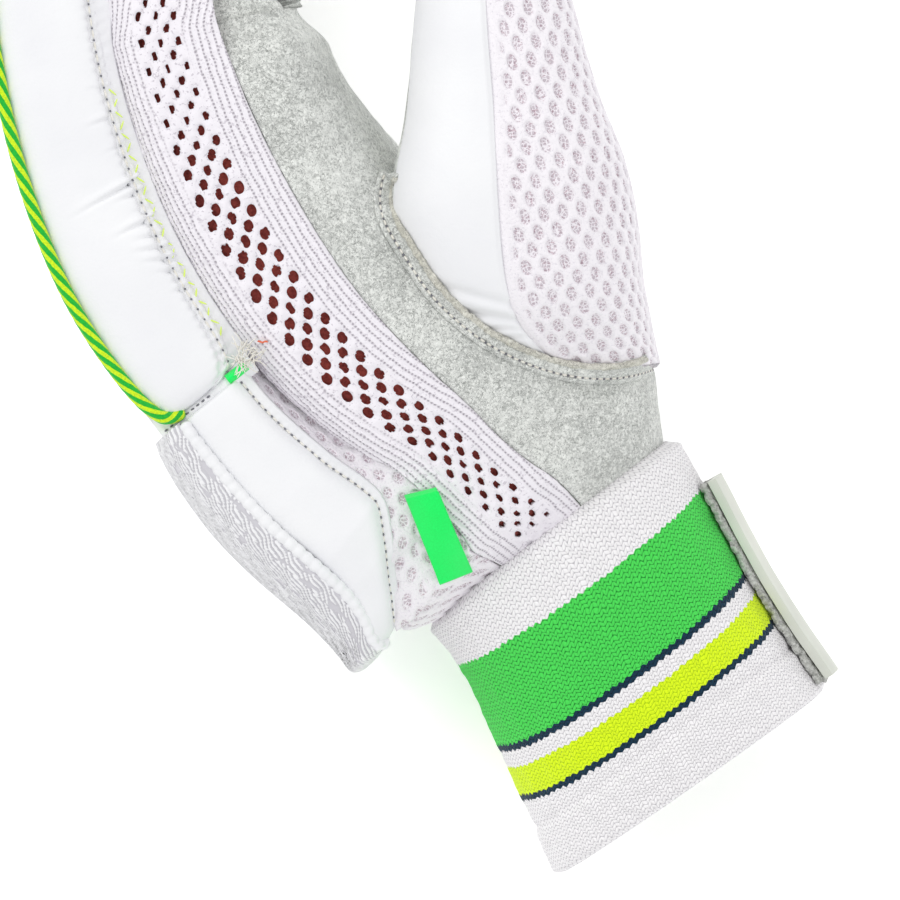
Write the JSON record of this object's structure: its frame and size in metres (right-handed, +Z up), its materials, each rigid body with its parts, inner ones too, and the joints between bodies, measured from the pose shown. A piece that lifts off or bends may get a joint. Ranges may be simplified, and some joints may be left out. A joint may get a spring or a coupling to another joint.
{
  "type": "cricket batting glove",
  "caption": "Left-hand cricket batting glove lying on its side, with padded finger rolls, a perforated side gusset, a mesh thumb and a striped towelling wristband.",
  "frame": {"origin": "middle of the underside's outline box, on the surface that the glove lies on", "axes": "+Y towards the fingertips, +X towards the palm side, +Z up towards the thumb side"},
  "size_m": [0.1994, 0.276, 0.1057],
  "materials": {
    "leather": "smooth white leather",
    "embossed": "embossed white leather",
    "suede": "light grey suede",
    "elastic": "white ribbed elastic",
    "lining": "dark red knit",
    "mesh": "white spacer mesh",
    "towelling": "knitted towelling with stripes",
    "green_tape": "satin woven tape",
    "green_cord": "twisted two-colour cord",
    "strap": "coated off-white strap",
    "pile": "fuzzy loop pile"
  },
  "bodies": {
    "root": {"cuff": "towelling", "closure_strap": "strap", "closure_pile": "pile", "palm_suede": "suede", "back_mesh": "mesh", "index_gusset": "elastic", "gusset_lining": "lining", "index_finger": "suede", "middle_finger": "suede", "ring_finger": "suede", "little_finger": "suede", "index_roll": "leather", "middle_roll": "leather", "ring_roll": "leather", "little_roll": "leather", "index_tip_pad": "leather", "middle_tip_pad": "leather", "ring_tip_pad": "leather", "little_tip_pad": "leather", "piping": "green_cord", "wrist_pad": "leather", "wrist_pad_cover": "embossed", "side_tab": "green_tape", "thumb_leather": "leather", "thumb_mesh": "mesh", "thumb_palm": "suede"}
  },
  "joints": []
}
